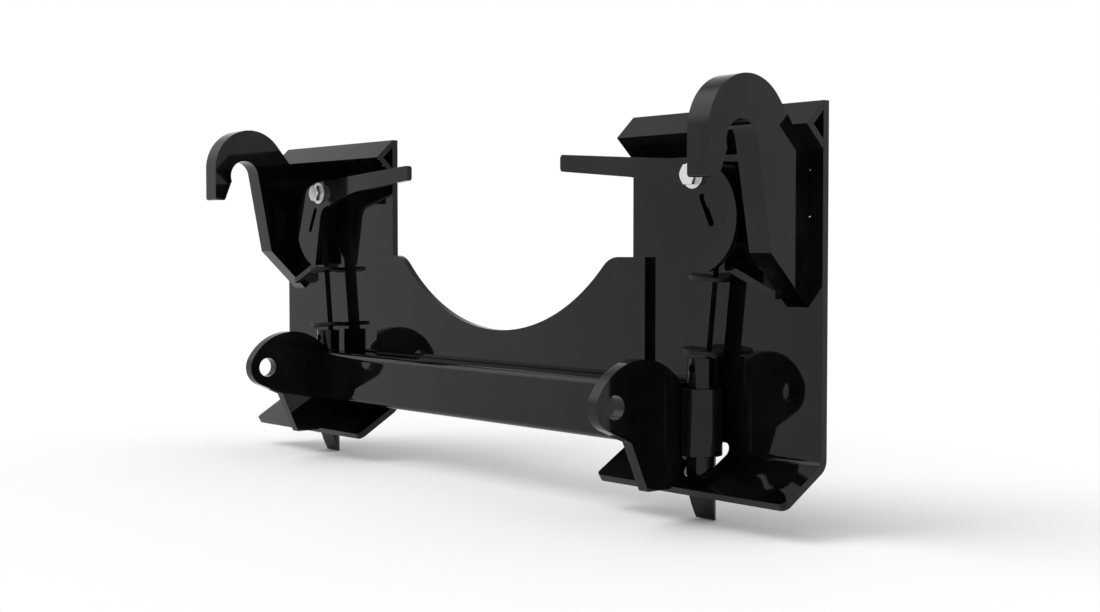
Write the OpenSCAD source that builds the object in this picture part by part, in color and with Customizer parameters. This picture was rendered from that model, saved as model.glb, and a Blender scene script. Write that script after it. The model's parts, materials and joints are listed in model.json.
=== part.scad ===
// Quick attach plate: loader hooks and pin ears on one side, skid steer face on the other.
// The origin is the middle of the loader pin axis. X runs across, +Y towards the attachment, +Z up.

/* [Face plate] */
// Overall width across both side plates
plate_w = 1147; // [1000:1:1300]
// Width of each side plate
side_w = 306.8; // [280:0.1:330]
// Thickness of the side plates
plate_t = 9.5; // [8:0.1:12]
// Height of the plate's top edge above the loader pin axis
plate_top = 348; // [335:1:375]
// Distance from the loader pin axis to the near face of the side plates
face_y = 153; // [146:1:165]

/* [Bottom flange] */
// Height of the bend line below the loader pin axis
flange_drop = 61; // [58:1:66]
// Angle of the flange below level
flange_angle = 31; // [27:1:36]
// Length of the flange from the bend line
flange_len = 75; // [70:1:82]
// Inside radius of the bend
bend_r = 9; // [6:0.5:14]
// Radius of the flange's free corners
flange_corner_r = 9; // [4:0.5:16]

/* [Centre plate] */
// Lap of the centre plate on each side plate
centre_lap = 31.3; // [20:0.1:60]
// Thickness of the centre plate
centre_t = 9.5; // [6:0.1:12]
// Height of its shoulders above the pin axis
shoulder_z = 171.5; // [150:0.5:190]
// Height of the bottom of the cut-out above the pin axis
cutout_z = 68; // [50:1:90]
// Level length at each shoulder, up to the start of the fillet
shoulder_flat = 49; // [40:1:60]
// Radius of the fillet between the cut-out and the shoulder
shoulder_r = 40; // [20:1:50]
// Height of the lower edge of the centre plate above the tube's lower side
centre_lift = 4; // [0:1:20]

/* [Cross tube] */
// Height of the tube's section
tube_h = 76.2; // [70:0.1:85]
// Depth of the tube's section
tube_d = 50.8; // [40:0.1:55]
// Wall of the tube
tube_wall = 6.4; // [3:0.1:8]
// Outside corner radius of the tube
tube_r = 11; // [8:0.5:14]
// Height of the tube's lower side below the pin axis
tube_drop = 55.6; // [50:0.1:58]

/* [Top wedge] */
// Reach of the bent wedge in front of the plate
wedge_d = 28.8; // [22:0.1:30]
// Height of the wedge on the plate
wedge_h = 54.5; // [48:0.1:60]
// Thickness of the wedge's sheet
wedge_t = 8; // [5:0.1:9]

/* [Hooks] */
// Thickness of each hook
hook_t = 32; // [25:0.5:38]
// Distance from the outboard face of the hook to the end of the plate
hook_inset = 20; // [10:0.5:30]
// Outer radius of the hook
hook_r = 63; // [61:0.5:66]
// Reach of the hook's outer arc centre in front of the plate
hook_reach = 101; // [98:0.5:108]
// Depth of the hook's outer arc centre below the plate's top edge
hook_drop = 38.5; // [34:0.5:44]
// Radius of the mouth
mouth_r = 24.5; // [22:0.5:26]
// Reach of the mouth centre in front of the plate
mouth_reach = 112; // [109:0.5:115]
// Depth of the mouth centre below the plate's top edge
mouth_drop = 50; // [45:0.5:56]
// Lean of the edge below the mouth, from upright
leg_lean = 10.9; // [8:0.1:13]
// Slope of the inner side of the tip, from upright
tip_slope = 19.5; // [12:0.5:24]
// Depth of the tip's end below the plate's top edge
tip_drop = 89; // [82:1:98]
// Depth of the knee below the plate's top edge
knee_drop = 170.5; // [158:0.5:183]
// Depth of the hook's foot on the plate below the plate's top edge
foot_drop = 232.5; // [223:0.5:248]
// Radius of the tip's corners
tip_r = 4; // [2:0.5:6]
// Height of the tab through the plate
tab_h = 52; // [30:1:70]
// Depth of the middle of the tab below the plate's top edge
tab_drop = 103.5; // [93:0.5:123]
// Gap round the tab in its slot
tab_gap = 0.4; // [0.2:0.1:1]
// Diameter of the relief at the slot's corners
relief_d = 4; // [2:0.5:6]

/* [Ears] */
// Thickness of each ear
ear_t = 16; // [12:0.5:20]
// Distance from the ear's inboard face to the lock pin's axis
ear_inset = 30; // [26:0.5:44]
// Diameter of the loader pin holes
pin_hole_d = 28.6; // [20:0.1:35]
// Metal round the hole, measured from its centre
ear_edge = 29; // [26:0.5:32]
// Distance of the ear's back arc centre behind the pin axis
ear_back_y = 43.5; // [38:0.5:46]
// Height of the ear's back arc centre below the pin axis
ear_back_drop = 26.5; // [24:0.5:32]
// Height where the ear's back meets the plate, below the pin axis
ear_root_drop = 14; // [8:1:24]
// Distance of the neck behind the pin axis
neck_y = 26; // [20:0.5:32]
// Height of the neck below the pin axis
neck_drop = 43; // [40:0.5:50]
// Distance of the front of the foot behind the pin axis
ear_foot_y = 53; // [46:0.5:60]
// Overhang of the foot below the flange's upper front edge
ear_foot_lap = 3; // [1:0.5:5]

/* [Lock pins] */
// Distance from the lock pin's axis to the hook's inboard face
latch_inset = 109.5; // [95:0.5:125]
// Diameter of the lock pin
lock_d = 35; // [31:0.1:38]
// Height of the top of the lock pin above the loader pin axis
lock_top = 52.3; // [50:0.1:54]
// Height of the end of the wedge below the loader pin axis
lock_tip_drop = 141.5; // [132:0.5:150]
// Length of the sloping face
slope_len = 62; // [50:1:75]
// Thickness left at the end of the wedge
tip_t = 10; // [6:0.5:14]
// Height of the cross pin above the loader pin axis
cross_z = 40; // [37:0.5:42]
// Diameter of the cross pin
cross_d = 10.3; // [8:0.1:11]
// Wall of the hollow cross pin
cross_wall = 2; // [1:0.1:3]
// Distance of the cross pin's ends from the lock pin's surface
cross_sink = 3.5; // [1.5:0.5:5]
// Depth of the fork slot in the top of the lock pin
fork_deep = 32; // [30:0.5:35]
// Radial gap of the running fits
run_gap = 0.08; // [0.03:0.01:0.1]

/* [Guide tubes] */
// Outside diameter of the guide tube
guide_d = 50.8; // [48:0.1:54]
// Height of its upper end above the pin axis
guide_top = 16.5; // [8:0.5:19]
// Height of its lower end below the pin axis
guide_drop = 64; // [58:0.5:66]
// Radius of the round opening in the flange
port_r = 20.5; // [19:0.5:24]
// Height of the top of the opening in the plate, below the pin axis
port_drop = 50; // [44:1:54]
// Radius of the upper corners of this opening
port_corner_r = 5; // [2:0.5:8]

/* [Levers] */
// Depth of the lever pivot below the plate's top edge
pivot_drop = 78.5; // [74:0.5:82]
// Thickness of the lever
lever_t = 8; // [6:0.5:9]
// Distance from the plate's near face to the back of the lever
lever_gap = 32; // [30.5:0.1:36]
// Radius of the lever's round cheek
cheek_r = 68; // [62:0.5:72]
// Height of the cheek's centre below the pivot
cheek_drop = 50; // [45:0.5:55]
// Height of the cheek's flat lower end below the pivot
cheek_end = 114; // [105:0.5:116]
// Distance of the inner end of the cheek's lower edge outboard of the pivot
cheek_in = 14; // [8:0.5:18]
// Length of the handle from the pivot
handle_len = 241; // [200:1:247]
// Depth of the handle at its free end
handle_end_h = 22; // [18:0.5:30]
// Height of the handle's free end above the pivot
handle_rise = 12.5; // [4:0.5:18]
// Radius of the corners at the handle's free end
handle_end_r = 5; // [2:0.5:10]
// Distance of the bend in the handle's lower edge from the pivot
handle_bend = 100; // [85:1:120]
// Radius of this bend
handle_bend_r = 180; // [60:5:200]
// Distance of the cheek's flat edge inboard of the pivot, at its upper end
throat_in = 4; // [0:0.5:10]
// Height of the throat between handle and cheek, below the pivot
throat_drop = 25; // [22:0.5:32]
// Radius of the throat
throat_r = 22; // [10:1:26]
// Width of the slot in the cheek
slot_w = 8.5; // [7:0.5:13]
// Distance of the slot's inner end from the pivot
slot_in = 30; // [26:0.5:34]
// Distance of the slot's outer end from the pivot
slot_out = 64; // [58:0.5:74]
// Angle of the slot outboard of straight down
slot_angle = 26; // [20:0.5:32]

/* [Pivot hardware] */
// Diameter of the pivot bolt
bolt_d = 15.8; // [12:0.1:17]
// Size of the bolt's head across its flats
head_af = 23.8; // [21:0.1:27]
// Height of the bolt's head
head_h = 9.9; // [6:0.1:12]
// Outside diameter of the washer
washer_d = 33.3; // [28:0.1:38]
// Thickness of the washer
washer_t = 2.5; // [1.5:0.1:4]
// Wall of the lever's bushing
bush_wall = 3; // [2:0.1:4]
// Diameter of the boss that carries the pivot
boss_d = 26.4; // [25:0.1:28]
// Side play of the lever between boss and washer
side_play = 0.3; // [0.2:0.05:0.5]

/* [Links] */
// Width of the link bar
link_w = 19; // [18:0.5:21]
// Thickness of the link bar
link_t = 9.5; // [6:0.1:10]
// Distance of the link's upper stud from the pivot, along the slot
stud_at = 48.5; // [42:0.5:54]
// Diameter of the link's upper stud
stud_d = 9; // [6:0.5:9.5]

/* [Link collars] */
// Clearance between the collars and the side plate
collar_clear = 0.4; // [0.2:0.1:1]
// Thickness of the collars
collar_t = 5; // [3:0.5:5.5]
// Distance of the lower collar from the cross pin, along the link
collar_low = 17.8; // [17.8:0.1:25]
// Distance of the upper collar from the cross pin, along the link
collar_high = 106; // [98:0.1:106.6]

/* [Latch brackets] */
// Distance from the lock pin's axis to the bracket's inboard face
latch_bar_out = 31; // [24:0.1:36]
// Thickness of the bent bar
latch_bar_t = 8; // [5:0.5:10]
// Depth of the bar in front of the plate
latch_bar_d = 20; // [12:0.5:21]
// Depth of the bracket's lower bend below the plate's top edge
latch_bar_drop = 190.5; // [184:0.5:198]
// Height of the upright between its two bends
latch_bar_flat = 15; // [10:0.5:20]
// Height of its upper end above the upper bend
latch_bar_rise = 21.5; // [14:0.5:28]
// Slope of its upper leg, from upright
latch_bar_lean = 37; // [28:1:42]
// Fall of its lower leg towards the hook
latch_bar_fall = 33; // [24:0.5:36]

/* [Hidden] */
$fn = 48;
side_x = plate_w/2 - side_w;
back_y = face_y + plate_t;
past = 20;
turn = 90 - flange_angle;
bend_z = bend_r*tan(turn/2) - flange_drop;
flange_dir = [-cos(flange_angle), -sin(flange_angle)];
flange_up = [-sin(flange_angle), cos(flange_angle)];
flange_tip = [face_y, -flange_drop] + flange_len*flange_dir;
lock_r = lock_d/2;
lock_y = face_y - guide_d/2;
wedge_lean = atan2(wedge_d, wedge_h/2);
apex = [face_y - wedge_d, plate_top - wedge_h/2];
hook_x = plate_w/2 - hook_inset - hook_t;
hook_c = [face_y - hook_reach, plate_top - hook_drop];
mouth_c = [face_y - mouth_reach, plate_top - mouth_drop];
tip_z = plate_top - tip_drop;
knee_z = plate_top - knee_drop;
foot_z = plate_top - foot_drop;
tab_z = plate_top - tab_drop;
pivot_z = plate_top - pivot_drop;
latch_bar_z = plate_top - latch_bar_drop;
latch_x = hook_x - latch_inset;
latch_bar_x = latch_x + latch_bar_out;
ear_x = latch_x - ear_inset;
lever_y = face_y - lever_gap;
boss_y = lever_y + side_play;
washer_y = lever_y - lever_t - side_play;
bush_r = bolt_d/2 + run_gap + bush_wall;
stud_x = stud_at*sin(slot_angle);
stud_z = pivot_z - stud_at*cos(slot_angle);
link_len = norm([stud_x, stud_z - cross_z]);
link_lean = atan2(stud_x, stud_z - cross_z);
paint = [0.07, 0.07, 0.075];
zinc = [0.78, 0.78, 0.8];
bronze = [0.72, 0.52, 0.28];

// Points along an arc about c, from angle a to angle b
function arc(c, r, a, b, n = 24) =
    [for (i = [0:n]) c + r*[cos(a + (b - a)*i/n), sin(a + (b - a)*i/n)]];

// Angle, seen from c, at which a line from p touches the circle about c; side is 1 or -1
function touch(c, r, p, side) =
    atan2(p[1] - c[1], p[0] - c[0]) + side*acos(r/norm(p - c));

// Points that round the corner k, between the points p and q, with radius r
function round_corner(p, k, q, r, n = 6) =
    let (u = (p - k)/norm(p - k), v = (q - k)/norm(q - k), half = acos(u*v)/2,
        c = k + (u + v)/norm(u + v)*r/sin(half),
        a = k + u*r/tan(half) - c, b = k + v*r/tan(half) - c,
        start = atan2(a[1], a[0]), sweep = atan2(a[0]*b[1] - a[1]*b[0], a*b))
    arc(c, r, start, start + sweep, n);

// Draws a profile of Y and Z and gives it a thickness along X from x
module across(x, t) {
    translate([x, 0, 0]) rotate([90, 0, 90]) linear_extrude(t) children();
}

// Draws a profile of X and Z and gives it a thickness towards the loader, from y
module facing(y, t) {
    translate([0, y, 0]) rotate([90, 0, 0]) linear_extrude(t) children();
}

module round_bar(x, y, z, d, l) {
    translate([x, y, z]) rotate([90, 0, 0]) cylinder(d = d, h = l);
}

// Section of a side plate: upright plate, bend and sloping flange
module plate_section() {
    c = [face_y - bend_r, bend_z];
    polygon(concat([[back_y, plate_top], [face_y, plate_top]],
        arc(c, bend_r, 0, -turn, 8),
        [flange_tip, flange_tip - plate_t*flange_up],
        arc(c, bend_r + plate_t, -turn, 0, 8)));
}

// One free corner of the flange, cut to a radius; side is 1 at the outboard end
module flange_corner(x, side) {
    translate([x, flange_tip[0], flange_tip[1]]) rotate([flange_angle, 0, 0])
        translate([-side*flange_corner_r, flange_corner_r, -plate_t - past])
            difference() {
                translate([side > 0 ? 0 : -flange_corner_r - past, -flange_corner_r - past, 0])
                    cube([flange_corner_r + past, flange_corner_r + past, plate_t + 2*past]);
                translate([0, 0, -1]) cylinder(r = flange_corner_r, h = plate_t + 2*past + 2);
            }
}

// Opening for the lock pin: round in the flange, with round upper corners in the plate
module pin_port() {
    side = port_r - port_corner_r;
    top = -port_drop - port_corner_r;
    translate([latch_x, lock_y, -lock_tip_drop]) cylinder(r = port_r, h = lock_tip_drop + top);
    facing(back_y + past, back_y - lock_y + past) translate([latch_x, 0]) polygon(concat(
        arc([side, top], port_corner_r, 0, 90, 6), arc([-side, top], port_corner_r, 90, 180, 6),
        [[-port_r, -lock_tip_drop], [port_r, -lock_tip_drop]]));
}

// Slot for the hook's tab, with round relief at its corners
module tab_slot() {
    x0 = hook_x - tab_gap;
    z0 = tab_z - tab_h/2 - tab_gap;
    translate([x0, face_y - 1, z0]) cube([hook_t + 2*tab_gap, plate_t + 2, tab_h + 2*tab_gap]);
    for (x = [x0, x0 + hook_t + 2*tab_gap], z = [z0, z0 + tab_h + 2*tab_gap])
        round_bar(x, back_y + 1, z, relief_d, plate_t + 2);
}

module side_plate() {
    color(paint) difference() {
        across(side_x, side_w) plate_section();
        pin_port();
        tab_slot();
        flange_corner(side_x, -1);
        flange_corner(plate_w/2, 1);
    }
}

// Plate between the side plates, lapped on their near faces, with a round cut-out
module centre_plate() {
    out = side_x + centre_lap;
    low = centre_lift - tube_drop;
    fill = [out - shoulder_flat, shoulder_z - shoulder_r];
    deep = fill[1] - cutout_z;
    cut_r = (pow(fill[0], 2) + pow(deep, 2) - pow(shoulder_r, 2))/(2*(shoulder_r + deep));
    mid = [0, cutout_z + cut_r];
    lean = atan2(fill[1] - mid[1], fill[0]);
    color(paint) facing(face_y, centre_t) polygon(concat(
        [[-out, low], [out, low], [out, shoulder_z]],
        arc(fill, shoulder_r, 90, 180 + lean, 12),
        arc(mid, cut_r, lean, -180 - lean, 48),
        arc([-fill[0], fill[1]], shoulder_r, -lean, 90, 12),
        [[-out, shoulder_z]]));
}

// Rectangle with round corners, its lower near corner at p
module tube_section(p, w, h, r) {
    polygon(concat(
        arc(p + [w - r, r], r, -90, 0, 6), arc(p + [w - r, h - r], r, 0, 90, 6),
        arc(p + [r, h - r], r, 90, 180, 6), arc(p + [r, r], r, 180, 270, 6)));
}

module cross_tube() {
    p = [face_y - centre_t - tube_d, -tube_drop];
    color(paint) across(-ear_x, 2*ear_x) difference() {
        tube_section(p, tube_d, tube_h, tube_r);
        tube_section(p + [tube_wall, tube_wall], tube_d - 2*tube_wall, tube_h - 2*tube_wall,
            max(tube_r - tube_wall, 1));
    }
}

// Bent sheet with its edges on the plate, so that its section is a V
module top_wedge() {
    rise = wedge_t/sin(wedge_lean);
    color(paint) across(side_x, side_w) polygon([
        [face_y, plate_top], apex, [face_y, plate_top - wedge_h],
        [face_y, plate_top - wedge_h + rise], apex + [wedge_t/cos(wedge_lean), 0],
        [face_y, plate_top - rise]]);
}

// Outline of a hook, from its foot round the mouth and the tip, and back to the plate
module hook_outline() {
    leg = mouth_c + mouth_r*[cos(leg_lean), sin(leg_lean)];
    knee = [leg[0] + (leg[1] - knee_z)*tan(leg_lean), knee_z];
    inner = mouth_c - mouth_r*[cos(tip_slope), sin(tip_slope)];
    tip_in = inner[0] - (inner[1] - tip_z)*tan(tip_slope);
    tip_out = hook_c[0] - hook_r;
    polygon(concat([[face_y, foot_z]], [knee],
        arc(mouth_c, mouth_r, leg_lean, 180 + tip_slope, 24),
        arc([tip_in - tip_r, tip_z + tip_r], tip_r, 0, -90, 6),
        arc([tip_out + tip_r, tip_z + tip_r], tip_r, 270, 180, 6),
        arc(hook_c, hook_r, 180, touch(hook_c, hook_r, apex, 1), 32),
        [apex, [face_y, plate_top - wedge_h]],
        [[face_y, tab_z + tab_h/2], [back_y, tab_z + tab_h/2],
            [back_y, tab_z - tab_h/2], [face_y, tab_z - tab_h/2]]));
}

module hook() {
    color(paint) across(hook_x, hook_t) hook_outline();
}

// Outline of an ear: hole end, round back, neck and foot
module ear_outline() {
    back = [ear_back_y, -ear_back_drop];
    back_r = norm(back) + ear_edge;
    joint = atan2(ear_back_drop, -ear_back_y);
    neck = [neck_y, -neck_drop];
    root = [face_y, -ear_root_drop];
    foot_z1 = flange_tip[1] - ear_foot_lap;
    difference() {
        polygon(concat(
            arc(back, back_r, touch(back, back_r, root, 1), joint, 32),
            arc([0, 0], ear_edge, joint, 360 + touch([0, 0], ear_edge, neck, -1), 16),
            [neck, [ear_foot_y, foot_z1], flange_tip + [plate_t/3, -ear_foot_lap],
                [face_y + plate_t/3, -flange_drop - plate_t/3], [face_y + plate_t/3, -ear_root_drop]],
            [root]));
        plate_section();
        circle(d = pin_hole_d);
    }
}

module ear() {
    color(paint) difference() {
        across(ear_x, ear_t) ear_outline();
        translate([latch_x, lock_y, -lock_tip_drop])
            cylinder(d = guide_d + 2*side_play, h = lock_tip_drop + plate_top);
    }
}

module guide_tube() {
    color(paint) translate([latch_x, lock_y, -guide_drop]) difference() {
        cylinder(d = guide_d, h = guide_drop + guide_top);
        translate([0, 0, -1]) cylinder(r = lock_r + run_gap, h = guide_drop + guide_top + 2);
    }
}

// Bar with two bends, on edge on the plate between the lever and the hook
module latch_bracket() {
    t = latch_bar_t;
    low = [latch_bar_x, latch_bar_z];
    high = low + [0, latch_bar_flat];
    top = high + latch_bar_rise*[tan(latch_bar_lean), 1];
    fall = t/cos(atan2(latch_bar_fall, hook_x - latch_bar_x));
    foot = [hook_x, latch_bar_z - latch_bar_fall];
    color(paint) facing(face_y, latch_bar_d) polygon([
        low, foot, foot + [0, fall], low + [t, 0.75*t], high + [t, -0.3*t],
        top + t*[cos(latch_bar_lean), -sin(latch_bar_lean)], top, high]);
}

module pivot_boss() {
    color(paint) difference() {
        round_bar(latch_x, face_y, pivot_z, boss_d, face_y - boss_y);
        round_bar(latch_x, face_y + 1, pivot_z, bolt_d, face_y - boss_y + 2);
    }
}

module pivot_bolt() {
    color(zinc) {
        round_bar(latch_x, face_y, pivot_z, bolt_d, face_y - washer_y + washer_t);
        translate([latch_x, washer_y - washer_t, pivot_z]) rotate([90, 0, 0])
            cylinder(d = head_af/cos(30), h = head_h, $fn = 6);
    }
}

module pivot_washer() {
    color(zinc) difference() {
        round_bar(latch_x, washer_y, pivot_z, washer_d, washer_t);
        round_bar(latch_x, washer_y + 1, pivot_z, bolt_d + 2*run_gap, washer_t + 2);
    }
}

// Outline of the lever about its pivot: round cheek, and a handle towards the middle
module lever_outline() {
    c = [0, -cheek_drop];
    end_out = sqrt(pow(cheek_r, 2) - pow(cheek_end - cheek_drop, 2));
    low_in = [cheek_in, -cheek_end];
    throat = [-throat_in, -throat_drop];
    bend = [-handle_bend, 0];
    tip_low = [-handle_len, handle_rise];
    tip_top = tip_low + [0, handle_end_h];
    crown = [0, cheek_r - cheek_drop];
    polygon(concat(
        arc(c, cheek_r, 90, atan2(cheek_drop - cheek_end, end_out), 32),
        [low_in],
        round_corner(low_in, throat, bend, throat_r, 8),
        round_corner(throat, bend, tip_low, handle_bend_r),
        round_corner(bend, tip_low, tip_top, handle_end_r),
        round_corner(tip_low, tip_top, crown, handle_end_r)));
}

module lever() {
    color(paint) translate([latch_x, 0, pivot_z]) difference() {
        facing(lever_y, lever_t) difference() {
            lever_outline();
            circle(r = bush_r);
        }
        rotate([0, -slot_angle, 0]) {
            for (r = [slot_in, slot_out]) round_bar(0, lever_y + 1, -r, slot_w, lever_t + 2);
            translate([-slot_w/2, lever_y - lever_t - 1, -slot_out])
                cube([slot_w, lever_t + 2, slot_out - slot_in]);
        }
    }
}

module lever_bushing() {
    len = lever_t + side_play;
    color(bronze) difference() {
        round_bar(latch_x, lever_y + side_play/2, pivot_z, 2*bush_r, len);
        round_bar(latch_x, lever_y + side_play + 1, pivot_z, bolt_d + 2*run_gap, len + 2);
    }
}

// Flat bar with round ends, from the cross pin up to the stud behind the lever
module link() {
    color(paint) translate([latch_x, lock_y + link_t/2, cross_z]) rotate([0, link_lean, 0])
        difference() {
            union() {
                facing(0, link_t) translate([-link_w/2, 0]) square([link_w, link_len]);
                for (z = [0, link_len]) round_bar(0, 0, z, link_w, link_t);
            }
            round_bar(0, 1, 0, cross_d + 2*run_gap, link_t + 2);
            round_bar(0, 1, link_len, stud_d, link_t + 2);
        }
}

module link_stud() {
    color(zinc) round_bar(latch_x + stud_x, lock_y + link_t/2, stud_z, stud_d,
        lock_y + link_t/2 - lever_y - side_play);
}

// Round collar across the link, at the distance s from the cross pin
module collar(s, gap) {
    color(paint) translate([latch_x, lock_y, cross_z]) rotate([0, link_lean, 0]) translate([0, 0, s])
        difference() {
            cylinder(r = guide_d/2 - collar_clear, h = collar_t);
            translate([-link_w/2 - gap, -link_t/2 - gap, -1])
                cube([link_w + 2*gap, link_t + 2*gap, collar_t + 2]);
        }
}

// Fixed on the link, just above the fork
module lower_collar() {
    collar(collar_low, 0);
}

// Free to slide on the link, below the lever
module upper_collar() {
    collar(collar_high, run_gap);
}

module cross_pin() {
    l = lock_d - 2*cross_sink;
    color(zinc) difference() {
        round_bar(latch_x, lock_y + l/2, cross_z, cross_d, l);
        round_bar(latch_x, lock_y + l/2 + 1, cross_z, cross_d - 2*cross_wall, l + 2);
    }
}

// Round pin with a fork at the top for the link, and a wedge at the lower end
module lock_pin() {
    fork_w = link_t + 2*side_play;
    color(paint) difference() {
        translate([latch_x, lock_y, -lock_tip_drop]) cylinder(r = lock_r, h = lock_tip_drop + lock_top);
        translate([latch_x - lock_r - 1, lock_y - fork_w/2, lock_top - fork_deep])
            cube([lock_d + 2, fork_w, fork_deep + 1]);
        round_bar(latch_x, lock_y + lock_r + 1, cross_z, cross_d, lock_d + 2);
        across(latch_x - lock_r - 1, lock_d + 2) polygon([
            [lock_y - lock_r - 1, slope_len - lock_tip_drop], [lock_y - lock_r, slope_len - lock_tip_drop],
            [lock_y + lock_r - tip_t, -lock_tip_drop], [lock_y + lock_r - tip_t, -lock_tip_drop - 1],
            [lock_y - lock_r - 1, -lock_tip_drop - 1]]);
    }
}

// The same piece on the left, mirrored about the middle
module left() {
    mirror([1, 0, 0]) children();
}

left() side_plate();  // left_side_plate
side_plate();  // right_side_plate
centre_plate();
cross_tube();
left() top_wedge();  // left_top_wedge
top_wedge();  // right_top_wedge
left() hook();  // left_hook
hook();  // right_hook
left() ear();  // left_ear
ear();  // right_ear
left() guide_tube();  // left_guide_tube
guide_tube();  // right_guide_tube
left() latch_bracket();  // left_latch_bracket
latch_bracket();  // right_latch_bracket
left() pivot_boss();  // left_pivot_boss
pivot_boss();  // right_pivot_boss
left() pivot_bolt();  // left_pivot_bolt
pivot_bolt();  // right_pivot_bolt
left() pivot_washer();  // left_pivot_washer
pivot_washer();  // right_pivot_washer
left() lever();  // left_lever
lever();  // right_lever
left() lever_bushing();  // left_lever_bushing
lever_bushing();  // right_lever_bushing
left() link();  // left_link
link();  // right_link
left() link_stud();  // left_link_stud
link_stud();  // right_link_stud
left() lower_collar();  // left_lower_collar
lower_collar();  // right_lower_collar
left() upper_collar();  // left_upper_collar
upper_collar();  // right_upper_collar
left() cross_pin();  // left_cross_pin
cross_pin();  // right_cross_pin
left() lock_pin();  // left_lock_pin
lock_pin();  // right_lock_pin
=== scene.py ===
"""Looks of a loader's quick attach plate: gloss black steel, bright bolts and its studio."""

import json
import math

import bpy
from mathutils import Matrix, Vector

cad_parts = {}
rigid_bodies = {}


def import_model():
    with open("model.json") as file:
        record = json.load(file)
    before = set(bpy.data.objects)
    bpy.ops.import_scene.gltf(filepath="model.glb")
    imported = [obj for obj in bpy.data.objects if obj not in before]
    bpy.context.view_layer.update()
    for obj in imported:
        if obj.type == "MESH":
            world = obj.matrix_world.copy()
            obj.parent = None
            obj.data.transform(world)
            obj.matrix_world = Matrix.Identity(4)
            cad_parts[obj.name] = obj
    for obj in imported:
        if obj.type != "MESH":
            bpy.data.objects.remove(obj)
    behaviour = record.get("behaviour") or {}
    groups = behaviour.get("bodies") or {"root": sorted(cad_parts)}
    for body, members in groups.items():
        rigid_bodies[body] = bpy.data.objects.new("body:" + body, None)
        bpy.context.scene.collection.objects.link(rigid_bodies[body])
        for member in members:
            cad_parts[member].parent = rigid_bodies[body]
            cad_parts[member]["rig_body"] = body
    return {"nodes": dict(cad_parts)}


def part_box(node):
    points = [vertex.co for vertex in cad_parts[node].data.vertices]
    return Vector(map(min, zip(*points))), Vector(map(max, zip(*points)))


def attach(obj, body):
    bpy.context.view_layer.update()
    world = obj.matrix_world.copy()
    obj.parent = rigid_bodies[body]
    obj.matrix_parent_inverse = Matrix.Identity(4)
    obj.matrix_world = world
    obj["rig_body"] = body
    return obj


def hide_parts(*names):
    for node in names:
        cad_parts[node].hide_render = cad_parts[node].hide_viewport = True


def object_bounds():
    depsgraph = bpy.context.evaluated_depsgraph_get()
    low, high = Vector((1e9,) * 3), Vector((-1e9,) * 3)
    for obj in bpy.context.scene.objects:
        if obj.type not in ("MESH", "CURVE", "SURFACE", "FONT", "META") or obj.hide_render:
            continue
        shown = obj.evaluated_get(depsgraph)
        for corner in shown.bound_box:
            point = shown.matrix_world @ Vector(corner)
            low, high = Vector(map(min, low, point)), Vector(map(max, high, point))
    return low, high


bl_info = {
    "name": "Quick Attach Plate",
    "version": (1, 0, 0),
    "blender": (4, 5, 0),
    "location": "3D View > Sidebar > Attach Plate",
    "description": "Finishes the quick attach plate and builds its studio",
    "category": "Object",
}

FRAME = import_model()
CAD_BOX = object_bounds()
SIDES = ("left", "right")
LATCH_NODES = (
    "guide_tube", "lock_pin", "link", "lower_collar", "upper_collar", "lever", "pivot_boss",
    "latch_bracket")
WHITE = (1, 1, 1, 1)

# Meshes: lengths in metres; HEAD_FACE is the share of a bolt head's face left inside its chamfer
MERGE_DISTANCE = 0.00001
FLAT_ANGLE = math.radians(0.6)
SMOOTH_ANGLE = math.radians(32)
EDGE_ANGLE = math.radians(34)
EDGE_SEGMENTS = 2
FLAT_WEIGHT = 90
CONE_SIDES = 96
HEAD_FACE = 0.93
TUBE_RIM = 0.001
FINE_EDGE = 0.0003

# Black paints: size and depth of the ripple, amount of dust, loss of gloss
PAINTS = {
    "Gloss black plate": (70.0, 0.00025, 0.05, 0.0),
    "Gloss black bar": (130.0, 0.0002, 0.08, 0.0),
    "Dull black seat": (130.0, 0.0002, 0.08, 0.4),
}
PAINT_IOR = 1.33
PAINT_RELIEF = 0.06
RIPPLE_DETAIL = 2.0
HAZE = {"Scale": 7.0, "Detail": 5.0, "Roughness": 0.62}
DUST_PATCHES = {"From Min": 0.45, "From Max": 0.8}
DUST_COLOUR = (0.10, 0.10, 0.095, 1)
DUST_DULLS = 0.9

# Metals: dark and light colour, then roughness, size and depth of the grain
METALS = {
    # Spring steel made near black as painted shade: the cross pins sit deep in their holes and the
    # studs down in the lever slots
    "Spring steel in painted shade": ((0.006, 0.006, 0.006), (0.014, 0.014, 0.014), 0.35, 900.0, 0.00005),
    "Bearing bronze": ((0.45, 0.29, 0.13), (0.62, 0.43, 0.21), 0.3, 500.0, 0.00006),
}
ZINC_GRAIN = (0.16, 900.0, 0.00005)
ZINC_SHADE = 0.86
METAL_RELIEF = 0.15
CLOUD = {"Scale": 120.0, "Detail": 4.0}
CLOUD_DULLS = 0.16

# Studio: the sky fades between two heights, and glows round the direction of the side light
LIGHT_FROM = (-1.6, -1.6, 2.6)
SIDE_LIGHT_SPREAD = math.radians(50)
SIDE_LIGHT_STRENGTH = 1.5
SKY_HEIGHTS = (0.25, 0.75)
SKY_LEVELS = (1.0, 0.5)
GLOW_REACH = (0.78, 0.99)
GLOW_LEVELS = (0.0, 1.5)
AMBIENT = 0.75
FLOOR_SIZE = 24
FLOOR_ROUGHNESS = 0.8
FLOOR_GLOW = 0.03
SENSOR_WIDTH = 36


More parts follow.
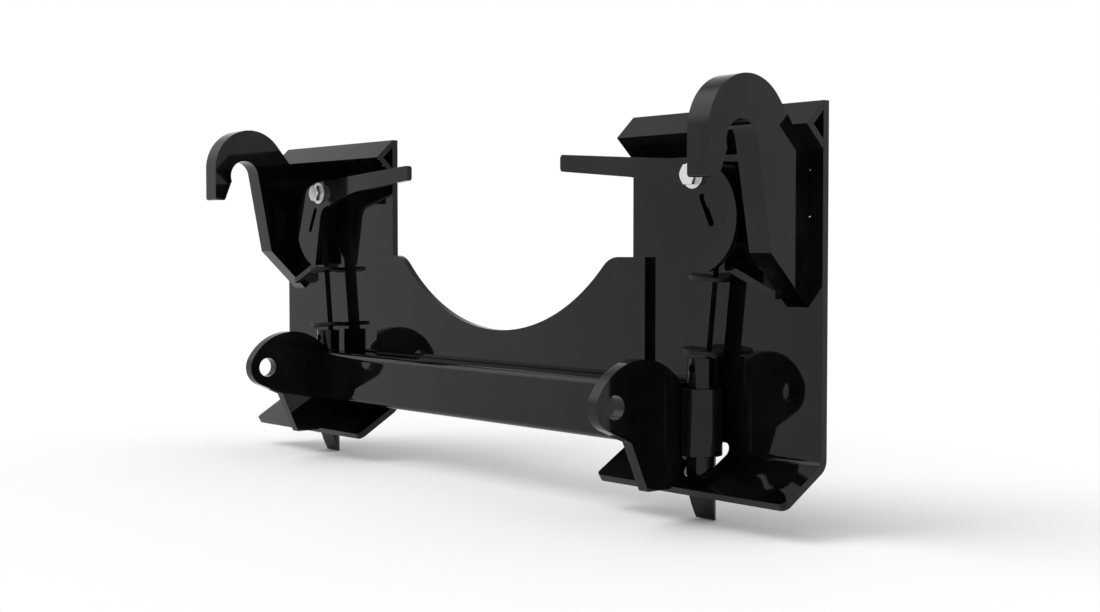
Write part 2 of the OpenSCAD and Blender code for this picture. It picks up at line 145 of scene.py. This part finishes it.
class PlatePaintSettings(bpy.types.PropertyGroup):
    """Paint of the steel parts."""

    colour: bpy.props.FloatVectorProperty(
        name="Paint colour", description="Colour of the gloss paint", subtype="COLOR", size=3,
        min=0, max=1, default=(0.0015, 0.0015, 0.0016))
    roughness: bpy.props.FloatProperty(
        name="Paint roughness", description="How blurred the reflections are", subtype="FACTOR",
        min=0, max=1, default=0.035)
    edge_radius: bpy.props.FloatProperty(
        name="Edge radius", description="Rounding of the cut edges of thick plate",
        subtype="DISTANCE", unit="LENGTH", min=0, max=0.004, default=0.00025)
    thin_edge_radius: bpy.props.FloatProperty(
        name="Thin edge radius", description="Rounding of the edges of thin bars",
        subtype="DISTANCE", unit="LENGTH", min=0, max=0.003, default=0.0002)


class PlateHardwareSettings(bpy.types.PropertyGroup):
    """Bolts, washers and pins."""

    zinc_colour: bpy.props.FloatVectorProperty(
        name="Zinc colour", description="Colour of the plated bolts", subtype="COLOR", size=3,
        min=0, max=1, default=(0.72, 0.72, 0.73))
    head_chamfer: bpy.props.FloatProperty(
        name="Head chamfer", description="Angle of the chamfer on the bolt heads", subtype="ANGLE",
        unit="ROTATION", min=0, max=1, default=math.radians(28))
    pin_slit: bpy.props.FloatProperty(
        name="Pin slit", description="Width of the slit along the hollow cross pins",
        subtype="DISTANCE", unit="LENGTH", min=0, max=0.003, default=0.0012)


class PlateStageSettings(bpy.types.PropertyGroup):
    """Floor, lights and camera."""

    floor_colour: bpy.props.FloatVectorProperty(
        name="Floor colour", description="Colour of the studio floor", subtype="COLOR", size=3,
        min=0, max=1, default=(0.9, 0.9, 0.9))
    floor_gap: bpy.props.FloatProperty(
        name="Floor gap", description="Height of the lock pins' ends above the floor",
        subtype="DISTANCE", unit="LENGTH", min=0, max=0.1, default=0.001)
    camera_place: bpy.props.FloatVectorProperty(
        name="Camera place", description="Where the camera stands", subtype="TRANSLATION",
        unit="LENGTH", size=3, default=(1.6741, -1.1913, 0.1836))
    camera_turn: bpy.props.FloatProperty(
        name="Camera turn", description="Turn of the camera about the upright axis",
        subtype="ANGLE", unit="ROTATION", default=math.radians(49.425))
    camera_tilt: bpy.props.FloatProperty(
        name="Camera tilt", description="How far the camera looks up", subtype="ANGLE",
        unit="ROTATION", default=math.radians(-2.196))
    lens: bpy.props.FloatProperty(
        name="Lens", description="Focal length in millimetres", min=10, max=200, default=50)


def clear_selection():
    """Leaves nothing selected."""
    if bpy.context.mode != "OBJECT":
        bpy.ops.object.mode_set(mode="OBJECT")
    bpy.ops.object.select_all(action="DESELECT")


def pick(piece):
    """Makes one piece the only one selected."""
    clear_selection()
    piece.select_set(True)
    bpy.context.view_layer.objects.active = piece


def apply_modifier(piece, kind, name, **values):
    """Adds a modifier with its values and applies it."""
    pick(piece)
    modifier = piece.modifiers.new(name, kind)
    for key, value in values.items():
        setattr(modifier, key, value)
    bpy.ops.object.modifier_apply(modifier=modifier.name)


def settle(piece, body, material, nodes):
    """Puts a finished piece at the origin, gives it its paint and hangs it on its body."""
    pick(piece)
    bpy.ops.object.transform_apply(location=True, rotation=True, scale=True)
    piece.data.materials.clear()
    piece.data.materials.append(material)
    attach(piece, body)
    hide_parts(*nodes)


def body_of_node(node):
    """Name of the body that a CAD node belongs to."""
    return FRAME["nodes"][node]["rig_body"]


def copy_of_node(node, name):
    """A clean copy of a CAD node: one mesh with its flat faces whole."""
    mesh = FRAME["nodes"][node].data.copy()
    piece = bpy.data.objects.new(name, mesh)
    bpy.context.scene.collection.objects.link(piece)
    mesh.name = name
    pick(piece)
    bpy.ops.object.mode_set(mode="EDIT")
    bpy.ops.mesh.select_all(action="SELECT")
    bpy.ops.mesh.remove_doubles(threshold=MERGE_DISTANCE)
    bpy.ops.mesh.dissolve_limited(angle_limit=FLAT_ANGLE)
    bpy.ops.object.mode_set(mode="OBJECT")
    return piece


def smooth_faces(piece):
    """Smooth shading that keeps the real edges sharp and the flat faces flat."""
    pick(piece)
    bpy.ops.object.shade_smooth_by_angle(angle=SMOOTH_ANGLE)
    apply_modifier(piece, "WEIGHTED_NORMAL", "Flat faces", weight=FLAT_WEIGHT, keep_sharp=True)


def break_edges(piece, radius):
    """Rounds the sharp edges of a steel piece, as grinding and paint do."""
    apply_modifier(
        piece, "BEVEL", "Broken edges", width=radius, segments=EDGE_SEGMENTS,
        limit_method="ANGLE", angle_limit=EDGE_ANGLE, use_clamp_overlap=False,
        miter_outer="MITER_ARC")
    smooth_faces(piece)


def steel_piece(node, radius, material):
    """A CAD node's shape with broken edges and its own paint, in the node's place."""
    piece = copy_of_node(node, node + "_steel")
    break_edges(piece, radius)
    settle(piece, body_of_node(node), material, [node])


def cut(piece, cutter, operation):
    """Cuts a piece with another one, which is then taken away."""
    apply_modifier(piece, "BOOLEAN", "Cut", object=cutter, operation=operation, solver="EXACT")
    bpy.data.objects.remove(cutter)


def chamfered_bolt(node, radius, material):
    """The pivot bolt with a turned chamfer on its hexagon head."""
    low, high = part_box(node)
    flat = (high.z - low.z) / 2
    length = high.y - low.y
    spread = length / math.tan(bpy.context.scene.plate_hardware.head_chamfer)
    piece = copy_of_node(node, node + "_steel")
    bpy.ops.mesh.primitive_cone_add(
        vertices=CONE_SIDES, radius1=flat + spread, radius2=HEAD_FACE * flat, depth=length,
        location=(low + high) / 2, rotation=(math.pi / 2, 0, 0))
    cut(piece, bpy.context.active_object, "INTERSECT")
    break_edges(piece, radius)
    settle(piece, body_of_node(node), material, [node])


def slit_pin(node, radius, material):
    """The hollow cross pin with the slit of a spring pin along its upper side."""
    low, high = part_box(node)
    wide = bpy.context.scene.plate_hardware.pin_slit
    middle = (low + high) / 2
    piece = copy_of_node(node, node + "_steel")
    bpy.ops.mesh.primitive_cube_add(size=1, location=(middle.x, middle.y, high.z))
    slit = bpy.context.active_object
    slit.scale = (wide, 2 * (high.y - low.y), high.z - low.z)
    cut(piece, slit, "DIFFERENCE")
    break_edges(piece, radius)
    settle(piece, body_of_node(node), material, [node])


def set_inputs(node, values):
    """Gives the inputs of a shader node their values."""
    for label, value in values.items():
        node.inputs[label].default_value = value


def new_group(name, inputs, outputs):
    """An empty shader node group with its sockets; returns it with its two ends."""
    group = bpy.data.node_groups.new(name, "ShaderNodeTree")
    for label, kind in inputs:
        group.interface.new_socket(label, in_out="INPUT", socket_type=kind)
    for label, kind in outputs:
        group.interface.new_socket(label, in_out="OUTPUT", socket_type=kind)
    start = group.nodes.new("NodeGroupInput")
    end = group.nodes.new("NodeGroupOutput")
    start.location, end.location = (-900, 0), (600, 0)
    return group, start, end


def paint_flow_group():
    """The slow ripple and fine grain of sprayed paint, with a little dust in the gloss."""
    group, start, end = new_group(
        "Paint flow",
        [("Vector", "NodeSocketVector"), ("Ripple size", "NodeSocketFloat"),
         ("Dust amount", "NodeSocketFloat"), ("Base roughness", "NodeSocketFloat")],
        [("Height", "NodeSocketFloat"), ("Roughness", "NodeSocketFloat"),
         ("Dust", "NodeSocketFloat")])
    nodes, links = group.nodes, group.links
    ripple = nodes.new("ShaderNodeTexNoise")
    set_inputs(ripple, {"Detail": RIPPLE_DETAIL})
    ripple.location = (-600, 200)
    links.new(start.outputs["Vector"], ripple.inputs["Vector"])
    links.new(start.outputs["Ripple size"], ripple.inputs["Scale"])
    haze = nodes.new("ShaderNodeTexNoise")
    set_inputs(haze, HAZE)
    haze.location = (-600, -150)
    links.new(start.outputs["Vector"], haze.inputs["Vector"])
    patches = nodes.new("ShaderNodeMapRange")
    set_inputs(patches, DUST_PATCHES)
    patches.location = (-350, -150)
    links.new(haze.outputs["Fac"], patches.inputs["Value"])
    dust = nodes.new("ShaderNodeMath")
    dust.operation = "MULTIPLY"
    dust.location = (-150, -150)
    links.new(patches.outputs["Result"], dust.inputs[0])
    links.new(start.outputs["Dust amount"], dust.inputs[1])
    gloss = nodes.new("ShaderNodeMath")
    gloss.operation = "MULTIPLY_ADD"
    gloss.inputs[1].default_value = DUST_DULLS
    gloss.location = (100, -50)
    links.new(dust.outputs["Value"], gloss.inputs[0])
    links.new(start.outputs["Base roughness"], gloss.inputs[2])
    links.new(ripple.outputs["Fac"], end.inputs["Height"])
    links.new(gloss.outputs["Value"], end.inputs["Roughness"])
    links.new(dust.outputs["Value"], end.inputs["Dust"])
    return group


def metal_grain_group():
    """Fine spangle and turning marks of bare or plated metal."""
    group, start, end = new_group(
        "Metal grain",
        [("Vector", "NodeSocketVector"), ("Grain size", "NodeSocketFloat"),
         ("Dark colour", "NodeSocketColor"), ("Light colour", "NodeSocketColor"),
         ("Base roughness", "NodeSocketFloat")],
        [("Colour", "NodeSocketColor"), ("Roughness", "NodeSocketFloat"),
         ("Height", "NodeSocketFloat")])
    nodes, links = group.nodes, group.links
    spangle = nodes.new("ShaderNodeTexVoronoi")
    spangle.location = (-600, 200)
    links.new(start.outputs["Vector"], spangle.inputs["Vector"])
    links.new(start.outputs["Grain size"], spangle.inputs["Scale"])
    cloud = nodes.new("ShaderNodeTexNoise")
    set_inputs(cloud, CLOUD)
    cloud.location = (-600, -150)
    links.new(start.outputs["Vector"], cloud.inputs["Vector"])
    tone = nodes.new("ShaderNodeMix")
    tone.data_type = "RGBA"
    tone.location = (-200, 100)
    links.new(cloud.outputs["Fac"], tone.inputs["Factor"])
    links.new(start.outputs["Dark colour"], tone.inputs["A"])
    links.new(start.outputs["Light colour"], tone.inputs["B"])
    gloss = nodes.new("ShaderNodeMath")
    gloss.operation = "MULTIPLY_ADD"
    gloss.inputs[1].default_value = CLOUD_DULLS
    gloss.location = (-200, -150)
    links.new(cloud.outputs["Fac"], gloss.inputs[0])
    links.new(start.outputs["Base roughness"], gloss.inputs[2])
    links.new(tone.outputs["Result"], end.inputs["Colour"])
    links.new(gloss.outputs["Value"], end.inputs["Roughness"])
    links.new(spangle.outputs["Distance"], end.inputs["Height"])
    return group


def new_material(name, metallic):
    """A material with its shader and a reading of the object's own place; returns what it holds."""
    material = bpy.data.materials.new(name)
    material.use_nodes = True
    nodes = material.node_tree.nodes
    shader = nodes["Principled BSDF"]
    set_inputs(shader, {"Metallic": metallic})
    place = nodes.new("ShaderNodeTexCoord")
    place.location = (-1200, 0)
    return material, nodes, material.node_tree.links, shader, place.outputs["Object"]


def relief(nodes, links, height, shader, strength, depth):
    """Feeds a height to the shader as bump."""
    bump = nodes.new("ShaderNodeBump")
    set_inputs(bump, {"Strength": strength, "Distance": depth})
    bump.location = (-300, -300)
    links.new(height, bump.inputs["Height"])
    links.new(bump.outputs["Normal"], shader.inputs["Normal"])


def gloss_black_material(name, ripple_size, ripple_depth, dust_amount, wear):
    """Sprayed gloss black with a faint ripple; wear dulls its gloss."""
    paint = bpy.context.scene.plate_paint
    material, nodes, links, shader, place = new_material(name, 0.0)
    flow = nodes.new("ShaderNodeGroup")
    flow.node_tree = bpy.data.node_groups.get("Paint flow") or paint_flow_group()
    set_inputs(flow, {
        "Ripple size": ripple_size, "Dust amount": dust_amount,
        "Base roughness": paint.roughness + wear})
    flow.location = (-900, 0)
    links.new(place, flow.inputs["Vector"])
    tone = nodes.new("ShaderNodeMix")
    tone.data_type = "RGBA"
    set_inputs(tone, {"A": (*paint.colour, 1), "B": DUST_COLOUR})
    tone.location = (-500, 200)
    links.new(flow.outputs["Dust"], tone.inputs["Factor"])
    links.new(tone.outputs["Result"], shader.inputs["Base Color"])
    links.new(flow.outputs["Roughness"], shader.inputs["Roughness"])
    set_inputs(shader, {"IOR": PAINT_IOR})
    relief(nodes, links, flow.outputs["Height"], shader, PAINT_RELIEF, ripple_depth)
    return material


def metal_material(name, dark, light, roughness, grain_size, depth):
    """Bare or plated metal with a fine grain."""
    material, nodes, links, shader, place = new_material(name, 1.0)
    grain = nodes.new("ShaderNodeGroup")
    grain.node_tree = bpy.data.node_groups.get("Metal grain") or metal_grain_group()
    set_inputs(grain, {
        "Grain size": grain_size, "Dark colour": (*dark, 1), "Light colour": (*light, 1),
        "Base roughness": roughness})
    grain.location = (-900, 0)
    links.new(place, grain.inputs["Vector"])
    links.new(grain.outputs["Colour"], shader.inputs["Base Color"])
    links.new(grain.outputs["Roughness"], shader.inputs["Roughness"])
    relief(nodes, links, grain.outputs["Height"], shader, METAL_RELIEF, depth)
    return material


def cad_material(key):
    """The material of that finish, made when it is first asked for."""
    if key in bpy.data.materials:
        return bpy.data.materials[key]
    if key in PAINTS:
        return gloss_black_material(key, *PAINTS[key])
    if key in METALS:
        return metal_material(key, *METALS[key])
    zinc = bpy.context.scene.plate_hardware.zinc_colour
    return metal_material(key, [ZINC_SHADE * c for c in zinc], zinc, *ZINC_GRAIN)


class PLATE_OT_finish_plates(bpy.types.Operator):
    """Paints the side plates, the centre plate and the bent wedges"""

    bl_idname = "plate.finish_plates"
    bl_label = "Finish plates"

    def execute(self, context):
        paint = cad_material("Gloss black plate")
        radius = context.scene.plate_paint.edge_radius
        steel_piece("centre_plate", radius, paint)
        for side in SIDES:
            steel_piece(side + "_side_plate", radius, paint)
            steel_piece(side + "_top_wedge", radius, paint)
        return {"FINISHED"}


class PLATE_OT_finish_tube(bpy.types.Operator):
    """Paints the cross tube"""

    bl_idname = "plate.finish_tube"
    bl_label = "Finish cross tube"

    def execute(self, context):
        paint = cad_material("Gloss black plate")
        piece = copy_of_node("cross_tube", "cross_tube_steel")
        smooth_faces(piece)
        settle(piece, body_of_node("cross_tube"), paint, ["cross_tube"])
        return {"FINISHED"}


class PLATE_OT_finish_hooks(bpy.types.Operator):
    """Paints the hooks and the pin ears"""

    bl_idname = "plate.finish_hooks"
    bl_label = "Finish hooks and ears"

    def execute(self, context):
        paint = cad_material("Gloss black bar")
        radius = context.scene.plate_paint.edge_radius
        for side in SIDES:
            steel_piece(side + "_hook", radius, paint)
            steel_piece(side + "_ear", radius, paint)
        return {"FINISHED"}


class PLATE_OT_finish_latches(bpy.types.Operator):
    """Paints the guide tubes, lock pins, links with their collars, levers, bosses and brackets"""

    bl_idname = "plate.finish_latches"
    bl_label = "Finish latches"

    def execute(self, context):
        gloss = cad_material("Gloss black bar")
        dull = cad_material("Dull black seat")
        radius = context.scene.plate_paint.thin_edge_radius
        for side in SIDES:
            for name in LATCH_NODES:
                rim = TUBE_RIM if name == "guide_tube" else radius
                paint = dull if name.endswith("_collar") else gloss
                steel_piece(f"{side}_{name}", rim, paint)
        return {"FINISHED"}


class PLATE_OT_finish_hardware(bpy.types.Operator):
    """Gives the bolts, washers and bushings their bare metal, and the cross pins and studs a
    near-black steel that is painted shade
    """

    bl_idname = "plate.finish_hardware"
    bl_label = "Finish hardware"

    def execute(self, context):
        zinc = cad_material("Bright zinc")
        # Cross pins and studs get near-black steel: painted shade for their deep holes and slots
        dark = cad_material("Spring steel in painted shade")
        bronze = cad_material("Bearing bronze")
        for side in SIDES:
            chamfered_bolt(side + "_pivot_bolt", FINE_EDGE, zinc)
            slit_pin(side + "_cross_pin", FINE_EDGE, dark)
            steel_piece(side + "_pivot_washer", FINE_EDGE, zinc)
            steel_piece(side + "_link_stud", FINE_EDGE, dark)
            steel_piece(side + "_lever_bushing", FINE_EDGE, bronze)
        return {"FINISHED"}


def broad_light(name, place, aim, spread, strength):
    """A soft light from one side, far away, that no mirror shows."""
    data = bpy.data.lights.new(name, "SUN")
    data.angle = spread
    data.energy = strength
    lamp = bpy.data.objects.new(name, data)
    bpy.context.scene.collection.objects.link(lamp)
    lamp.location = place
    lamp.rotation_euler = (Vector(aim) - Vector(place)).to_track_quat("-Z", "Y").to_euler()
    lamp.visible_glossy = False


def soft_step(nodes, links, value, start, end, low, high):
    """A smooth change from low to high while the value goes from start to end."""
    step = nodes.new("ShaderNodeMapRange")
    step.interpolation_type = "SMOOTHSTEP"
    set_inputs(step, {"From Min": start, "From Max": end, "To Min": low, "To Max": high})
    links.new(value, step.inputs["Value"])
    return step.outputs["Result"]


def studio_sky(nodes, links, target):
    """White all round the horizon, dimmer overhead, with the glow of one broad light."""
    place = nodes.new("ShaderNodeTexCoord")
    split = nodes.new("ShaderNodeSeparateXYZ")
    links.new(place.outputs["Generated"], split.inputs["Vector"])
    overhead = soft_step(nodes, links, split.outputs["Z"], *SKY_HEIGHTS, *SKY_LEVELS)
    facing = nodes.new("ShaderNodeVectorMath")
    facing.operation = "DOT_PRODUCT"
    facing.inputs[1].default_value = Vector(LIGHT_FROM).normalized()
    links.new(place.outputs["Generated"], facing.inputs[0])
    glow = soft_step(nodes, links, facing.outputs["Value"], *GLOW_REACH, *GLOW_LEVELS)
    both = nodes.new("ShaderNodeMath")
    both.operation = "ADD"
    links.new(overhead, both.inputs[0])
    links.new(glow, both.inputs[1])
    links.new(both.outputs["Value"], target)


def white_to_the_eye(nodes, links, seen, lit):
    """Mixes two shaders: white where the camera or a mirror sees it, lit everywhere else."""
    path = nodes.new("ShaderNodeLightPath")
    total = path.outputs["Is Camera Ray"]
    for ray in ("Is Glossy Ray", "Is Transmission Ray"):
        add = nodes.new("ShaderNodeMath")
        add.operation = "ADD"
        add.use_clamp = True
        links.new(total, add.inputs[0])
        links.new(path.outputs[ray], add.inputs[1])
        total = add.outputs["Value"]
    mix = nodes.new("ShaderNodeMixShader")
    links.new(total, mix.inputs["Fac"])
    links.new(lit, mix.inputs[1])
    links.new(seen, mix.inputs[2])
    return mix.outputs["Shader"]


def studio_floor(middle, height, colour):
    """A wide pale floor below the part."""
    bpy.ops.mesh.primitive_plane_add(size=FLOOR_SIZE, location=(middle.x, middle.y, height))
    floor = bpy.context.active_object
    floor.name = "studio_floor"
    material = bpy.data.materials.new("Studio floor")
    material.use_nodes = True
    set_inputs(material.node_tree.nodes["Principled BSDF"], {
        "Base Color": (*colour, 1), "Roughness": FLOOR_ROUGHNESS, "Specular IOR Level": 0.0,
        "Emission Color": WHITE, "Emission Strength": FLOOR_GLOW})
    floor.data.materials.append(material)


def studio_world():
    """Even light from all sides, and the sky that the gloss mirrors."""
    world = bpy.data.worlds.new("Studio world")
    bpy.context.scene.world = world
    world.use_nodes = True
    nodes, links = world.node_tree.nodes, world.node_tree.links
    lit = nodes["Background"]
    set_inputs(lit, {"Color": WHITE, "Strength": AMBIENT})
    seen = nodes.new("ShaderNodeBackground")
    set_inputs(seen, {"Color": WHITE})
    studio_sky(nodes, links, seen.inputs["Strength"])
    shown = white_to_the_eye(nodes, links, seen.outputs["Background"], lit.outputs["Background"])
    links.new(shown, nodes["World Output"].inputs["Surface"])


def photo_camera(stage):
    """The camera where the photograph was taken from."""
    data = bpy.data.cameras.new("photo_camera")
    data.lens = stage.lens
    data.sensor_width = SENSOR_WIDTH
    camera = bpy.data.objects.new("photo_camera", data)
    bpy.context.scene.collection.objects.link(camera)
    camera.location = stage.camera_place
    camera.rotation_euler = (math.pi / 2 + stage.camera_tilt, 0, stage.camera_turn)
    bpy.context.scene.camera = camera


class PLATE_OT_build_stage(bpy.types.Operator):
    """Builds the floor, the studio lights and the camera"""

    bl_idname = "plate.build_stage"
    bl_label = "Build stage"

    def execute(self, context):
        stage = context.scene.plate_stage
        low, high = CAD_BOX
        middle = (low + high) / 2
        clear_selection()
        studio_floor(middle, low.z - stage.floor_gap, stage.floor_colour)
        studio_world()
        broad_light("side_light", LIGHT_FROM, middle, SIDE_LIGHT_SPREAD, SIDE_LIGHT_STRENGTH)
        photo_camera(stage)
        context.scene.view_settings.view_transform = "Standard"
        return {"FINISHED"}


class PLATE_PT_panel(bpy.types.Panel):
    """Lists the settings and the steps"""

    bl_idname = "PLATE_PT_panel"
    bl_label = "Attach Plate"
    bl_space_type = "VIEW_3D"
    bl_region_type = "UI"
    bl_category = "Attach Plate"

    def draw(self, context):
        layout = self.layout
        for settings in SETTINGS:
            group = getattr(context.scene, settings)
            for name in group.__annotations__:
                layout.prop(group, name)
        for operator in OPERATORS:
            layout.operator(operator.bl_idname)


SETTINGS = {
    "plate_paint": PlatePaintSettings,
    "plate_hardware": PlateHardwareSettings,
    "plate_stage": PlateStageSettings,
}
OPERATORS = (
    PLATE_OT_build_stage,
    PLATE_OT_finish_plates,
    PLATE_OT_finish_tube,
    PLATE_OT_finish_hooks,
    PLATE_OT_finish_latches,
    PLATE_OT_finish_hardware,
)


def register():
    """Adds the settings, the operators and the panel."""
    for name, group in SETTINGS.items():
        bpy.utils.register_class(group)
        setattr(bpy.types.Scene, name, bpy.props.PointerProperty(type=group))
    for item in (*OPERATORS, PLATE_PT_panel):
        bpy.utils.register_class(item)


def unregister():
    """Takes them away again."""
    for item in reversed((*OPERATORS, PLATE_PT_panel)):
        bpy.utils.unregister_class(item)
    for name, group in reversed(SETTINGS.items()):
        delattr(bpy.types.Scene, name)
        bpy.utils.unregister_class(group)


def main():
    """Builds the stage and finishes every piece."""
    register()
    bpy.ops.plate.build_stage()
    bpy.ops.plate.finish_plates()
    bpy.ops.plate.finish_tube()
    bpy.ops.plate.finish_hooks()
    bpy.ops.plate.finish_latches()
    bpy.ops.plate.finish_hardware()


if __name__ == "__main__":
    main()
